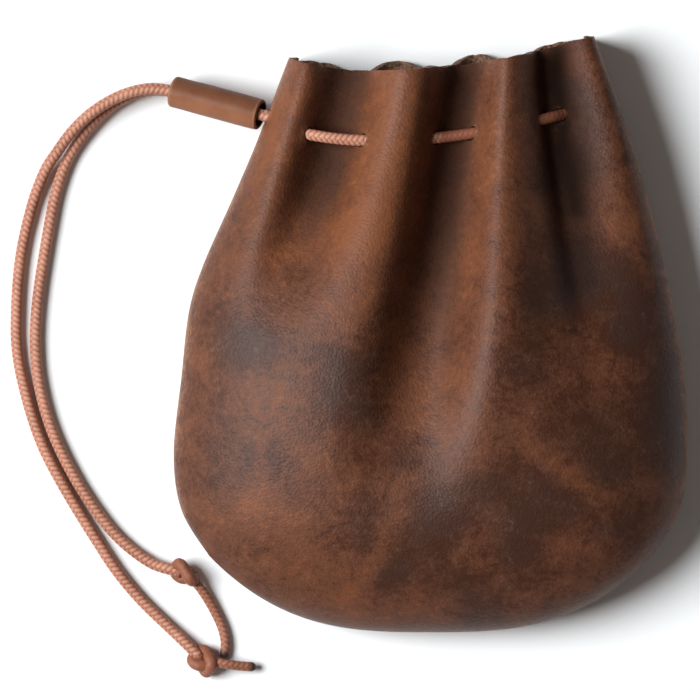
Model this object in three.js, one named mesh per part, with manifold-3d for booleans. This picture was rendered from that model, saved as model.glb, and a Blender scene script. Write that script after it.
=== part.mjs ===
// A leather drawstring coin pouch, lying on its back on a table with its mouth towards +Y.
// Millimetres, +Z up. The origin is on the table, under the middle of the pouch.
// Two panels meet at a turned seam. A cord gathers the mouth through holes in the leather, and
// its two ends leave together on the left, through a leather slider, to a knot each.
import * as THREE from "three";
import { mergeVertices } from "three/addons/utils/BufferGeometryUtils.js";
import Module from "manifold-3d";

const wasm = await Module();
wasm.setup();

// Driving dimensions
const WALL = 1.6;
const GAP = 0.3;
const CORD_DIAMETER = 2.5;
const TAIL_DIAMETER = 2.1;
const CORD_SIDES = 8;
const CORD_BELOW_MOUTH = 15;
const BOTTOM_DROP = 16.6; // from the bottom corners down to the lowest point of the bottom edge
const FRONT_MOUTH_DIP = 4.6; // how far each panel's mouth edge hangs below its corners
const BACK_MOUTH_DIP = 2.2;
const MOUTH_SKEW = 0.8; // below 1 puts the lowest point of that dip left of the middle
const BOTTOM_ROUND = 0.5; // share of the length over which the bottom rises to the belly
const BOTTOM_SQUARENESS = 2.2; // how boxy that rise is
const BACK_FLAT_FROM = 0.72; // share of the arch at which the back lies on the table
const FRONT_FOLD_ONSET = 1.5; // how late the folds set in on the way in from the seam
const BACK_FOLD_ONSET = 3;
const FOLD_SHARPNESS = 2.6; // above 2 gives the folds flatter middles and steeper sides
const SEAM_EASE = 0.12; // share of the panel over which its rows close up towards the seam

// Sections across the pouch from the bottom corners up to the mouth. left and right are the seam,
// rightLift is how much further along Y its right end lies, seam and crest are heights above the
// table, and squareness is how boxy the front arches from seam to seam.
const SECTIONS = [
  { y: -47.2, left: -47.5, right: 47.5, rightLift: 0, seam: 7.5, crest: 30.0, squareness: 2.2 },
  { y: -37.6, left: -53.3, right: 53.3, rightLift: 0, seam: 8.0, crest: 31.5, squareness: 2.2 },
  { y: -25.5, left: -55.0, right: 55.0, rightLift: 0, seam: 8.5, crest: 33.0, squareness: 2.2 },
  { y: -8.7, left: -53.3, right: 54.3, rightLift: 0, seam: 9.0, crest: 34.0, squareness: 2.2 },
  { y: 5.0, left: -51.7, right: 52.0, rightLift: 0, seam: 9.5, crest: 33.6, squareness: 2.3 },
  { y: 15.0, left: -48.6, right: 50.0, rightLift: 0, seam: 10.0, crest: 32.4, squareness: 2.7 },
  { y: 29.8, left: -42.0, right: 46.0, rightLift: 1.0, seam: 10.5, crest: 29.6, squareness: 3.8 },
  { y: 43.0, left: -36.4, right: 41.6, rightLift: 2.4, seam: 11.2, crest: 27.0, squareness: 5.6 },
  { y: 59.1, left: -30.3, right: 34.9, rightLift: 4.6, seam: 11.8, crest: 25.8, squareness: 6.4 },
];

// Folds that run down from the mouth. Each follows a line from mouthX to fadeX, where it dies out
// at fadeY, and bend above 1 keeps that line straight near the mouth. rise is the fold's height,
// below zero where it sinks, half its half width at the mouth, skew how many times as wide its right
// side is as its left, widen how much wider it ends, and hold the share of its run at full height.
// lean pushes it along X, and draw pulls it in from the mouth along Y.
const FOLD_COLUMNS = [
  "mouthX", "fadeX", "fadeY", "bend", "rise", "half", "skew", "widen", "hold", "lean", "draw",
];
const asFold = (row) => Object.fromEntries(FOLD_COLUMNS.map((name, i) => [name, row[i]]));
const FRONT_FOLDS = [
  [-17.8, -36.5, -4.0, 1.3, -10.6, 6.9, 1.0, 0.1, 0.4, 0, 0], // left pleat
  [-7.0, -20.0, -20.0, 1.5, 1.2, 6.5, 1.0, 0.6, 0.3, 0.8, 0], // left ridge
  [7.2, -7.3, -48.0, 1.0, -10.7, 5.5, 0.85, 1.1, 0.5, 0, 0], // middle pleat
  [13.6, -1.0, -34.0, 6.0, 1.4, 6.5, 1.0, 0.4, 0.5, 1.2, 0], // middle ridge
  [24.6, 40.0, -30.0, 1.6, -5.4, 12.0, 2.0, 0.5, 0.5, 1.2, 0], // slope down to the right pleat
  [23.4, 39.8, -24.0, 1.25, -5.4, 6.4, 4.4, 0.8, 0.3, -0.8, 0], // right pleat
].map(asFold);
const BACK_FOLDS = [
  [-16.0, -24.0, 16.0, 1.5, 6.2, 4.4, 1.0, 0.6, 0.3, 0, 2.8], // left pleat
  [1.2, -1.0, 10.0, 1.2, 6.2, 4.6, 1.0, 0.6, 0.3, 0, 2.8], // middle pleat
  [17.5, 25.0, 16.0, 1.5, 6.2, 4.4, 1.0, 0.6, 0.3, 0, 2.8], // right pleat
].map(asFold);

// The woven cord lies CORD_BELOW_MOUTH under the mouth edge. It runs from inside the left ridge
// along the front, round the right side and back along the underside, at these heights.
const DRAWSTRING_STOPS = [
  { x: -30.6, z: 15.6 }, { x: -26.2, z: 19.8 }, { x: -19.3, z: 21.6 }, { x: -12.7, z: 21.8 },
  { x: -5.0, z: 20.4 }, { x: 1.2, z: 19.0 }, { x: 6.0, z: 18.8 }, { x: 10.8, z: 18.8 },
  { x: 17.0, z: 19.0 }, { x: 22.0, z: 19.0 }, { x: 25.4, z: 17.8 }, { x: 28.6, z: 15.2 },
  { x: 33.0, z: 13.2 }, { x: 36.0, z: 12.0 }, { x: 36.6, z: 9.6 }, { x: 34.0, z: 6.0 },
  { x: 30.0, z: 4.0 }, { x: 23.0, z: 3.4 }, { x: 12.5, z: 3.5 }, { x: 2.8, z: 3.4 },
  { x: -8.0, z: 3.5 }, { x: -18.0, z: 3.4 }, { x: -25.0, z: 4.4 }, { x: -30.6, z: 7.6 },
];

// The slider's two end centres, its outside and its bore, which holds one cord above the other.
const SLIDER_INNER_END = new THREE.Vector3(-36.3, 46.85, 11.2);
const SLIDER_OUTER_END = new THREE.Vector3(-55.0, 51.9, 6.2);
const SLIDER_WIDTH = 6.8;
const SLIDER_HEIGHT = 8.6;
const SLIDER_EDGE = 0.5;
const CORD_SPACING = CORD_DIAMETER + GAP;

// The free ends, from inside the left ridge through the slider and down onto the table.
const OUTER_STRAND = [
  [-31.0, 45.4, 15.4], [-34.6, 46.4, 13.5], [-36.65, 46.95, 12.55], [-46.0, 49.45, 10.05],
  [-55.35, 52.0, 7.55], [-60.0, 52.5, 6.9], [-64.6, 51.6, 6.4], [-68.9, 49.7, 5.8],
  [-73.2, 46.8, 4.9], [-77.0, 43.0, 4.0], [-80.0, 38.9, 3.2], [-82.2, 35.6, 2.5],
  [-84.6, 29.8, 1.7], [-86.4, 23.3, 1.35], [-87.7, 16.9, 1.3], [-88.4, 10.5, 1.3],
  [-88.7, 4.1, 1.3], [-88.7, -0.9, 1.3], [-88.1, -6.4, 1.3], [-86.9, -11.9, 1.3],
  [-85.1, -18.3, 1.3], [-82.7, -24.7, 1.3], [-79.4, -31.1, 1.3], [-75.6, -37.6, 1.3],
  [-71.6, -44.0, 1.3], [-67.4, -50.4, 1.3], [-62.1, -56.8, 1.3], [-55.7, -63.0, 1.6],
  [-51.1, -67.4, 2.6],
];
const INNER_STRAND = [
  [-31.0, 45.4, 7.8], [-34.3, 46.3, 9.3], [-35.95, 46.75, 9.8], [-45.3, 49.3, 7.35],
  [-54.65, 51.8, 4.85], [-59.8, 52.2, 3.9], [-64.2, 51.1, 3.3], [-68.3, 48.9, 2.7],
  [-71.5, 46.1, 2.2], [-74.3, 42.8, 1.8], [-76.6, 39.4, 1.5], [-78.3, 36.0, 1.35],
  [-80.3, 29.8, 1.3], [-81.6, 23.3, 1.3], [-82.7, 16.9, 1.3], [-83.7, 10.5, 1.3],
  [-84.4, 4.1, 1.3], [-84.6, -2.3, 1.3], [-84.1, -8.7, 1.3], [-82.8, -15.1, 1.3],
  [-80.7, -21.5, 1.3], [-77.7, -27.9, 1.3], [-74.0, -34.3, 1.3], [-69.5, -40.6, 1.3],
  [-66.6, -43.8, 1.3], [-63.1, -46.8, 1.4], [-59.4, -49.2, 1.8], [-56.0, -50.3, 2.5],
];
const OUTER_TAIL = [[-45.0, -70.4, 3.6], [-43.4, -70.7, 3.5], [-40.4, -71.1, 2.6], [-37.4, -71.3, 1.5]];
const INNER_TAIL = [
  [-50.0, -53.5, 2.4], [-48.3, -55.8, 1.7], [-46.2, -59.4, 1.2], [-44.5, -63.2, 1.1],
  [-43.9, -66.4, 1.1], [-44.2, -69.5, 1.1],
];

// Each knot's middle and the direction in which its cord goes in.
const KNOTS = [
  { name: "knot_outer", middle: [-48.5, -70.0, 3.05], along: [0.72, -0.69, 0] },
  { name: "knot_inner", middle: [-52.5, -51.2, 3.05], along: [0.95, -0.3, 0] },
];
const KNOT_LENGTH = 6.6;
const KNOT_RADIUS = 3.0;
const KNOT_CREASE = 0.1; // share by which the middle of the knot is drawn in

const clampShare = (x) => Math.min(Math.max(x, 0), 1);
const smooth = (x) => clampShare(x) ** 2 * (3 - 2 * clampShare(x));

// Uniform Catmull-Rom through one column of SECTIONS, at a share v of the way up.
function column(name, v) {
  const last = SECTIONS.length - 1;
  const at = clampShare(v) * last;
  const i = Math.min(Math.floor(at), last - 1);
  const value = (k) => SECTIONS[Math.min(Math.max(k, 0), last)][name];
  const [before, start, end, after] = [value(i - 1), value(i), value(i + 1), value(i + 2)];
  const f = at - i;
  const slopeIn = (end - before) / 2;
  const slopeOut = (after - start) / 2;
  return (2 * start - 2 * end + slopeIn + slopeOut) * f ** 3
    + (3 * end - 3 * start - 2 * slopeIn - slopeOut) * f ** 2 + slopeIn * f + start;
}

// How far below the line between its corners the mouth edge hangs, as a share of its dip.
function mouthArc(u) {
  const skewed = u ** MOUTH_SKEW;
  return 4 * skewed * (1 - skewed);
}

// Where the point at u across and v along lies on the table, between the seam and the mouth edge.
function planPoint(u, v, mouthDip) {
  const x = THREE.MathUtils.lerp(column("left", v), column("right", v), u);
  const side = column("y", v) + column("rightLift", v) * u;
  const bottom = BOTTOM_DROP * (1 - Math.abs(2 * u - 1) ** 3);
  return new THREE.Vector2(x, side - (1 - v) * bottom - v * mouthDip * mouthArc(u));
}

// How far the wall has risen from the seam, 0 on it and 1 over the middle.
function archShare(u, v) {
  const across = 1 - Math.abs(2 * u - 1) ** column("squareness", v);
  const along = 1 - Math.max(0, 1 - v / BOTTOM_ROUND) ** BOTTOM_SQUARENESS;
  const either = across + along - across * along;
  return either > 0 ? Math.sqrt((across * along) / either) : 0;
}

// How far the folds move a place on the table: along X, back from the mouth and up.
function foldsAt(folds, place, mouthY) {
  const moved = new THREE.Vector3();
  for (const fold of folds) {
    const run = clampShare((mouthY - place.y) / (mouthY - fold.fadeY));
    const centre = fold.mouthX + (fold.fadeX - fold.mouthX) * run ** fold.bend;
    const side = place.x > centre ? Math.sqrt(fold.skew) : 1 / Math.sqrt(fold.skew);
    const away = (place.x - centre) / (fold.half * side * (1 + fold.widen * run));
    const fading = 1 - smooth((run - fold.hold) / (1 - fold.hold));
    const share = Math.exp(-(Math.abs(away) ** FOLD_SHARPNESS)) * fading;
    moved.addScaledVector(new THREE.Vector3(fold.lean, -fold.draw, fold.rise), share);
  }
  return moved;
}

// Even steps from 0 to 1 that start slowly over the share SEAM_EASE, and end so too if both.
function eased(s, both) {
  const scale = 1 / (1 - (both ? SEAM_EASE : SEAM_EASE / 2));
  if (s < SEAM_EASE) return (scale * s * s) / (2 * SEAM_EASE);
  if (both && s > 1 - SEAM_EASE) return 1 - (scale * (1 - s) ** 2) / (2 * SEAM_EASE);
  return scale * (s - SEAM_EASE / 2);
}

function frontPoint(s, t) {
  const [u, v] = [eased(s, true), eased(t, false)];
  const place = planPoint(u, v, FRONT_MOUTH_DIP);
  const arch = archShare(u, v);
  const seam = column("seam", v);
  const fold = foldsAt(FRONT_FOLDS, place, planPoint(u, 1, FRONT_MOUTH_DIP).y);
  const height = seam + GAP / 2 + (column("crest", v) - seam) * arch + fold.z * arch ** FRONT_FOLD_ONSET;
  return new THREE.Vector3(place.x + fold.x * arch, place.y + fold.y * arch, height);
}

function backPoint(s, t) {
  const [u, v] = [eased(s, true), eased(t, false)];
  const place = planPoint(u, v, BACK_MOUTH_DIP);
  const flat = Math.min(1, archShare(u, v) / BACK_FLAT_FROM);
  const fold = foldsAt(BACK_FOLDS, place, planPoint(u, 1, BACK_MOUTH_DIP).y);
  const height = (column("seam", v) - GAP / 2) * (1 - flat) ** 2;
  return new THREE.Vector3(place.x, place.y + fold.y * flat, height + fold.z * flat ** BACK_FOLD_ONSET);
}

// Unit normal of a panel's surface, on its upper side.
function normalAt(surface, s, t) {
  const step = 0.004;
  const inside = (value) => Math.min(Math.max(value, 2 * step), 1 - 2 * step);
  const [a, b] = [inside(s), inside(t)];
  const alongS = surface(a + step, b).sub(surface(a - step, b));
  const alongT = surface(a, b + step).sub(surface(a, b - step));
  return alongS.cross(alongT).normalize();
}

// A closed leather wall: the outer surface, the same surface moved in by WALL, and its edges.
// outward is 1 where the outside is up and -1 where it is down.
function panelGeometry(surface, outward, across, along) {
  const positions = [];
  for (const depth of [0, WALL]) {
    for (let j = 0; j <= along; j++) {
      for (let i = 0; i <= across; i++) {
        const [s, t] = [i / across, j / along];
        const normal = normalAt(surface, s, t);
        if (i === 0 || i === across || j === 0) normal.setZ(0).normalize();
        const point = surface(s, t).addScaledVector(normal, -outward * depth);
        positions.push(point.x, point.y, point.z);
      }
    }
  }
  const layer = (across + 1) * (along + 1);
  const outer = (i, j) => j * (across + 1) + i;
  const inner = (i, j) => outer(i, j) + layer;
  const faces = [];
  const quad = (a, b, c, d) => {
    if (outward > 0) faces.push(a, b, c, a, c, d);
    else faces.push(a, c, b, a, d, c);
  };
  for (let j = 0; j < along; j++) {
    for (let i = 0; i < across; i++) {
      quad(outer(i, j), outer(i + 1, j), outer(i + 1, j + 1), outer(i, j + 1));
      quad(inner(i, j), inner(i, j + 1), inner(i + 1, j + 1), inner(i + 1, j));
    }
    quad(inner(0, j), outer(0, j), outer(0, j + 1), inner(0, j + 1));
    quad(outer(across, j), inner(across, j), inner(across, j + 1), outer(across, j + 1));
  }
  for (let i = 0; i < across; i++) {
    quad(inner(i, 0), inner(i + 1, 0), outer(i + 1, 0), outer(i, 0));
    quad(outer(i, along), outer(i + 1, along), inner(i + 1, along), inner(i, along));
  }
  return new THREE.BufferGeometry()
    .setAttribute("position", new THREE.Float32BufferAttribute(positions, 3))
    .setIndex(faces);
}

// A round tube with flat ends along a smooth line through points.
function tubeGeometry(points, diameter, steps) {
  const section = new THREE.Shape().absarc(0, 0, diameter / 2, 0, 2 * Math.PI);
  const line = new THREE.CatmullRomCurve3(points.map((p) => new THREE.Vector3(...p)));
  return new THREE.ExtrudeGeometry(section, {
    extrudePath: line,
    steps,
    curveSegments: CORD_SIDES / 2,
    bevelEnabled: false,
  });
}

function solidOf(geometry) {
  const bare = geometry.clone().deleteAttribute("normal").deleteAttribute("uv");
  const merged = mergeVertices(bare, 1e-4);
  return new wasm.Manifold(new wasm.Mesh({
    numProp: 3,
    vertProperties: merged.attributes.position.array,
    triVerts: new Uint32Array(merged.index.array),
  }));
}

function geometryOf(solid) {
  const mesh = solid.getMesh();
  return new THREE.BufferGeometry()
    .setAttribute("position", new THREE.BufferAttribute(mesh.vertProperties, 3))
    .setIndex(new THREE.BufferAttribute(mesh.triVerts, 1));
}

// The leather slider: an oval tube with an upright slot through it for the two cords.
function sliderGeometry() {
  const body = new THREE.Shape().absellipse(
    0, 0, SLIDER_WIDTH / 2 - SLIDER_EDGE, SLIDER_HEIGHT / 2 - SLIDER_EDGE, 0, 2 * Math.PI);
  const boreRadius = CORD_DIAMETER / 2 + GAP + SLIDER_EDGE;
  const bore = new THREE.Path()
    .absarc(0, CORD_SPACING / 2, boreRadius, 0, Math.PI)
    .absarc(0, -CORD_SPACING / 2, boreRadius, Math.PI, 2 * Math.PI);
  bore.closePath();
  body.holes.push(bore);
  const length = SLIDER_INNER_END.distanceTo(SLIDER_OUTER_END);
  return new THREE.ExtrudeGeometry(body, {
    depth: length - 2 * SLIDER_EDGE,
    bevelThickness: SLIDER_EDGE,
    bevelSize: SLIDER_EDGE,
    bevelSegments: 1,
    curveSegments: 8,
  }).translate(0, 0, SLIDER_EDGE);
}

// A knot as a round lump drawn in at its middle, about its own Y axis.
function knotGeometry() {
  const rings = 10;
  const profile = [];
  for (let i = 0; i <= rings; i++) {
    const turn = (Math.PI * i) / rings;
    const waist = 1 - KNOT_CREASE * Math.sin(turn) ** 8;
    const radius = i === 0 || i === rings ? 0 : KNOT_RADIUS * Math.sin(turn) ** 0.8 * waist;
    profile.push(new THREE.Vector2(radius, (-KNOT_LENGTH / 2) * Math.cos(turn)));
  }
  return new THREE.LatheGeometry(profile, 12);
}

const leather = new THREE.MeshStandardMaterial({ color: 0x5b3626, roughness: 0.62 });
const sliderLeather = new THREE.MeshStandardMaterial({ color: 0x8a5a40, roughness: 0.5 });
const waxedCord = new THREE.MeshStandardMaterial({ color: 0x9a6048, roughness: 0.55 });

const group = new THREE.Group();
function addPiece(name, geometry, material) {
  const piece = new THREE.Mesh(geometry, material);
  piece.name = name;
  group.add(piece);
  return piece;
}

// A stop of the woven cord, below the front's mouth edge.
function cordPoint({ x, z }) {
  const [left, right] = [column("left", 1), column("right", 1)];
  const u = clampShare((x - left) / (right - left));
  return [x, planPoint(u, 1, FRONT_MOUTH_DIP).y - CORD_BELOW_MOUTH, z];
}

// Cords, and the panels with the holes that the cords pass through
const cords = [
  { name: "drawstring", points: DRAWSTRING_STOPS.map(cordPoint), steps: 56 },
  { name: "strand_outer", points: OUTER_STRAND, steps: 42 },
  { name: "strand_inner", points: INNER_STRAND, steps: 42 },
];
let holes = null;
for (const { name, points, steps } of cords) {
  addPiece(name, tubeGeometry(points, CORD_DIAMETER, steps), waxedCord);
  const clearance = solidOf(tubeGeometry(points, CORD_DIAMETER + 2 * GAP, steps));
  holes = holes ? holes.add(clearance) : clearance;
}
const panels = [
  { name: "front_panel", surface: frontPoint, outward: 1, across: 42, along: 22 },
  { name: "back_panel", surface: backPoint, outward: -1, across: 32, along: 16 },
];
for (const { name, surface, outward, across, along } of panels) {
  const whole = solidOf(panelGeometry(surface, outward, across, along));
  addPiece(name, geometryOf(whole.subtract(holes)), leather);
}

addPiece("tail_outer", tubeGeometry(OUTER_TAIL, TAIL_DIAMETER, 6), waxedCord);
addPiece("tail_inner", tubeGeometry(INNER_TAIL, TAIL_DIAMETER, 9), waxedCord);
for (const { name, middle, along } of KNOTS) {
  const knot = addPiece(name, knotGeometry(), waxedCord);
  knot.position.set(...middle);
  knot.quaternion.setFromUnitVectors(new THREE.Vector3(0, 1, 0), new THREE.Vector3(...along).normalize());
}

// The slider's own Z runs from its inner end to its outer end, and its Y stays upright.
const slider = addPiece("slider_bead", sliderGeometry(), sliderLeather);
const sliderAxis = SLIDER_OUTER_END.clone().sub(SLIDER_INNER_END).normalize();
const sliderSide = new THREE.Vector3(0, 0, 1).cross(sliderAxis).normalize();
const sliderUp = sliderAxis.clone().cross(sliderSide);
slider.quaternion.setFromRotationMatrix(new THREE.Matrix4().makeBasis(sliderSide, sliderUp, sliderAxis));
slider.position.copy(SLIDER_INNER_END);

export default group;
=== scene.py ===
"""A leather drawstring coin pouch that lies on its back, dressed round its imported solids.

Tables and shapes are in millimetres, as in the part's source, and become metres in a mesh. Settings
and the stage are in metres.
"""

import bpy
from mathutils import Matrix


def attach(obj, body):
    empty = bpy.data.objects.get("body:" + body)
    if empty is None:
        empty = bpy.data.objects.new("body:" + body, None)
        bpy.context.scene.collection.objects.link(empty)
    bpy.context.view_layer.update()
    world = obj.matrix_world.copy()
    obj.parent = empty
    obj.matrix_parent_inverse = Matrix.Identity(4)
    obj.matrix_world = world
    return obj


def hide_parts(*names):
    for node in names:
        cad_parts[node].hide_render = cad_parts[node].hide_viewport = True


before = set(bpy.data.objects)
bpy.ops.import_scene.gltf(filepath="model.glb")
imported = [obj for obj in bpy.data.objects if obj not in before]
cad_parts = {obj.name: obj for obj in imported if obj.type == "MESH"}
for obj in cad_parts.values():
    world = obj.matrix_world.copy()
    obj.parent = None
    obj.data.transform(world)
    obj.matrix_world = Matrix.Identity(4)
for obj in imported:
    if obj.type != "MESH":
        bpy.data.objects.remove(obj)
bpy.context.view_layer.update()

import math

import bpy
import numpy as np
from bpy.props import FloatProperty, FloatVectorProperty, IntProperty, PointerProperty
from mathutils import Matrix, Vector, kdtree, noise

bl_info = {
    "name": "Drawstring Coin Pouch",
    "version": (1, 0, 0),
    "blender": (4, 5, 0),
    "location": "View3D > Sidebar > Pouch",
    "description": "Builds a leather drawstring coin pouch round its packed solids",
    "category": "Add Mesh",
}

MM = 0.001
GAP = 0.3  # clearance between pieces

# The pouch, as in the part's source
CORD_BELOW_MOUTH = 15.0
BOTTOM_DROP = 16.6
FRONT_MOUTH_DIP = 4.6
BACK_MOUTH_DIP = 2.2
MOUTH_SKEW = 0.8
BOTTOM_ROUND = 0.5
BOTTOM_SQUARENESS = 2.2
BACK_FLAT_FROM = 0.72
FRONT_FOLD_ONSET = 1.5
BACK_FOLD_ONSET = 3.0
FOLD_SHARPNESS = 2.6
SEAM_EASE = 0.12

# What the panels have beyond the part's source
FRONT_GRID = (210, 180)  # squares across and along
BACK_GRID = (160, 130)
CROWD_ACROSS = 0.6  # how much closer the grid's lines lie at the two sides
CROWD_ALONG = 0.5  # and at the bottom
SEAM_GAP = 0.04  # between the turned edges, which the stitches hold together
ROUND_FROM = -20.0  # Y below which the seam goes round the bottom
MOUTH_WAVER = 0.4  # how far the hand-cut edge at the mouth strays
WAVER_PACE = 0.45  # how quickly it strays along X
WAVER_FROM = 0.93  # share of the way up from which it strays
RIM_FROM = 0.2  # how far from the cord's side a hole's rim starts to sink
RIM_SLOPE = 1.2  # and over what distance it does

# Marks on the leather
SEAM_WEAR = {"leather_front": 1.25, "leather_back": 0.8}
SEAM_WEAR_REACH = 0.075  # share of the way across or along a panel
RIM_WEAR = 0.6
FLESH_FROM = 0.6  # depth from which the flesh side shows
FLESH_OVER = 0.5  # and over what depth it takes over
PLEAT_DEPTHS = 5.0, 10.5  # from where a pleat is darkened with painted shade, to where it is darkest
PLEAT_FADE = -20.0, 30.0  # Y up to which pleats get no painted shade, and from which they get all of it
WANDER_OFFSETS = Vector((9.3, -1.5, -8.0)), Vector((-3.1, 7.2, 4.4))  # where the marks' noise starts
MARK_PACE = 0.11  # how quickly the marks stray from their places
STAIN_STRAY = 3.0  # how far stains do, as a multiple of how far streaks do
STAIN_SPREAD = 1.35  # how much wider stains are than their radii
STAIN_SHARE = 0.7  # how much of their strength shows
STAIN_LIMITS = -0.7, 0.9

# The cord's plait, and how light its crowns are
SIDES_PER_STRAND = 8
RING_STEP = 0.18
KNOT_RING_STEP = 0.3
CORD_SHADE_FROM = 0.5  # X from which the gathering cord's crowns are darker, painted shade where the ridges shade it
CORD_SHADE_OVER = 3.0  # and over what length it does
CORD_SHADE_SHARE = 0.85
FREE_POLISH = 0.85
# the knots' crowns are darker: painted shade
KNOT_CROWN_SHADE = 0.25
TAIL_POLISH = 0.6

# The stage
KEY_PLACE = (-1.3, 0.1, 1.4)
FILL_PLACE = (1.2, -0.6, 1.4)
LIGHT_SIZE = 1.2
FLOOR_SIZE = 40
FLOOR_DROP = 0.0001

# Sections from the bottom corners up to the mouth: the seam's left and right ends, how much
# further along Y the right end lies, seam and crest heights, and how boxy the arch is.
SECTION_COLUMNS = ("y", "left", "right", "right_lift", "seam", "crest", "squareness")
SECTIONS = np.array([
    (-47.2, -47.5, 47.5, 0.0, 7.5, 30.0, 2.2),
    (-37.6, -53.3, 53.3, 0.0, 8.0, 31.5, 2.2),
    (-25.5, -55.0, 55.0, 0.0, 8.5, 33.0, 2.2),
    (-8.7, -53.3, 54.3, 0.0, 9.0, 34.0, 2.2),
    (5.0, -51.7, 52.0, 0.0, 9.5, 33.6, 2.3),
    (15.0, -48.6, 50.0, 0.0, 10.0, 32.4, 2.7),
    (29.8, -42.0, 46.0, 1.0, 10.5, 29.6, 3.8),
    (43.0, -36.4, 41.6, 2.4, 11.2, 27.0, 5.6),
    (59.1, -30.3, 34.9, 4.6, 11.8, 25.8, 6.4),
])

# Folds from the mouth: place at the mouth, place and Y where the fold dies out, bend of its line,
# rise, half width, how many times as wide its right side is as its left, widening, share of the
# run at full height, push along X, pull along -Y.
FRONT_FOLDS = (
    (-17.8, -36.5, -4.0, 1.3, -10.6, 6.9, 1.0, 0.1, 0.4, 0.0, 0.0),  # left pleat
    (-7.0, -20.0, -20.0, 1.5, 1.2, 6.5, 1.0, 0.6, 0.3, 0.8, 0.0),  # left ridge
    (7.2, -7.3, -48.0, 1.0, -10.7, 5.5, 0.85, 1.1, 0.5, 0.0, 0.0),  # middle pleat
    (13.6, -1.0, -34.0, 6.0, 1.4, 6.5, 1.0, 0.4, 0.5, 1.2, 0.0),  # middle ridge
    (24.6, 40.0, -30.0, 1.6, -5.4, 12.0, 2.0, 0.5, 0.5, 1.2, 0.0),  # slope down to the right pleat
    (23.4, 39.8, -24.0, 1.25, -5.4, 6.4, 4.4, 0.8, 0.3, -0.8, 0.0),  # right pleat
)
BACK_FOLDS = (
    (-16.0, -24.0, 16.0, 1.5, 6.2, 4.4, 1.0, 0.6, 0.3, 0.0, 2.8),  # left pleat
    (1.2, -1.0, 10.0, 1.2, 6.2, 4.6, 1.0, 0.6, 0.3, 0.0, 2.8),  # middle pleat
    (17.5, 25.0, 16.0, 1.5, 6.2, 4.4, 1.0, 0.6, 0.3, 0.0, 2.8),  # right pleat
)

# The gathering cord's places along X and heights, from the left ridge round to the underside
DRAWSTRING_STOPS = (
    (-30.6, 15.6), (-26.2, 19.8), (-19.3, 21.6), (-12.7, 21.8), (-5.0, 20.4), (1.2, 19.0),
    (6.0, 18.8), (10.8, 18.8), (17.0, 19.0), (22.0, 19.0), (25.4, 17.8), (28.6, 15.2),
    (33.0, 13.2), (36.0, 12.0), (36.6, 9.6), (34.0, 6.0), (30.0, 4.0), (23.0, 3.4),
    (12.5, 3.5), (2.8, 3.4), (-8.0, 3.5), (-18.0, 3.4), (-25.0, 4.4), (-30.6, 7.6),
)

# The free ends, from inside the left ridge through the slider and down onto the table
OUTER_STRAND = np.array([
    (-31.0, 45.4, 15.4), (-34.6, 46.4, 13.5), (-36.65, 46.95, 12.55), (-46.0, 49.45, 10.05),
    (-55.35, 52.0, 7.55), (-60.0, 52.5, 6.9), (-64.6, 51.6, 6.4), (-68.9, 49.7, 5.8),
    (-73.2, 46.8, 4.9), (-77.0, 43.0, 4.0), (-80.0, 38.9, 3.2), (-82.2, 35.6, 2.5),
    (-84.6, 29.8, 1.7), (-86.4, 23.3, 1.35), (-87.7, 16.9, 1.3), (-88.4, 10.5, 1.3),
    (-88.7, 4.1, 1.3), (-88.7, -0.9, 1.3), (-88.1, -6.4, 1.3), (-86.9, -11.9, 1.3),
    (-85.1, -18.3, 1.3), (-82.7, -24.7, 1.3), (-79.4, -31.1, 1.3), (-75.6, -37.6, 1.3),
    (-71.6, -44.0, 1.3), (-67.4, -50.4, 1.3), (-62.1, -56.8, 1.3), (-55.7, -63.0, 1.6),
    (-51.1, -67.4, 2.6),
])
INNER_STRAND = np.array([
    (-31.0, 45.4, 7.8), (-34.3, 46.3, 9.3), (-35.95, 46.75, 9.8), (-45.3, 49.3, 7.35),
    (-54.65, 51.8, 4.85), (-59.8, 52.2, 3.9), (-64.2, 51.1, 3.3), (-68.3, 48.9, 2.7),
    (-71.5, 46.1, 2.2), (-74.3, 42.8, 1.8), (-76.6, 39.4, 1.5), (-78.3, 36.0, 1.35),
    (-80.3, 29.8, 1.3), (-81.6, 23.3, 1.3), (-82.7, 16.9, 1.3), (-83.7, 10.5, 1.3),
    (-84.4, 4.1, 1.3), (-84.6, -2.3, 1.3), (-84.1, -8.7, 1.3), (-82.8, -15.1, 1.3),
    (-80.7, -21.5, 1.3), (-77.7, -27.9, 1.3), (-74.0, -34.3, 1.3), (-69.5, -40.6, 1.3),
    (-66.6, -43.8, 1.3), (-63.1, -46.8, 1.4), (-59.4, -49.2, 1.8), (-56.0, -50.3, 2.5),
])
OUTER_TAIL = np.array([
    (-45.0, -70.4, 3.6), (-43.4, -70.7, 3.5), (-40.4, -71.1, 2.6), (-37.4, -71.3, 1.5),
])
INNER_TAIL = np.array([
    (-50.0, -53.5, 2.4), (-48.3, -55.8, 1.7), (-46.2, -59.4, 1.2), (-44.5, -63.2, 1.1),
    (-43.9, -66.4, 1.1), (-44.2, -69.5, 1.1),
])

# Each knot's middle, the direction in which its cord goes in, and its turn about that direction
KNOT_OUTER = ((-48.5, -70.0, 3.05), (0.72, -0.69, 0.0), 20.0)
KNOT_INNER = ((-52.5, -51.2, 3.05), (0.95, -0.3, 0.0), 75.0)
KNOT_RADIUS = 3.1
KNOT_REACH = 1.2  # how far from its middle the tight knot is kept, in cord diameters
KNOT_FILL = 1.5  # the pressed cord fills the gaps between its turns
KNOT_LIFT = 0.05  # clearance under a knot
INTO_KNOT = 0.6  # how far towards a knot's middle its cords go in
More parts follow.
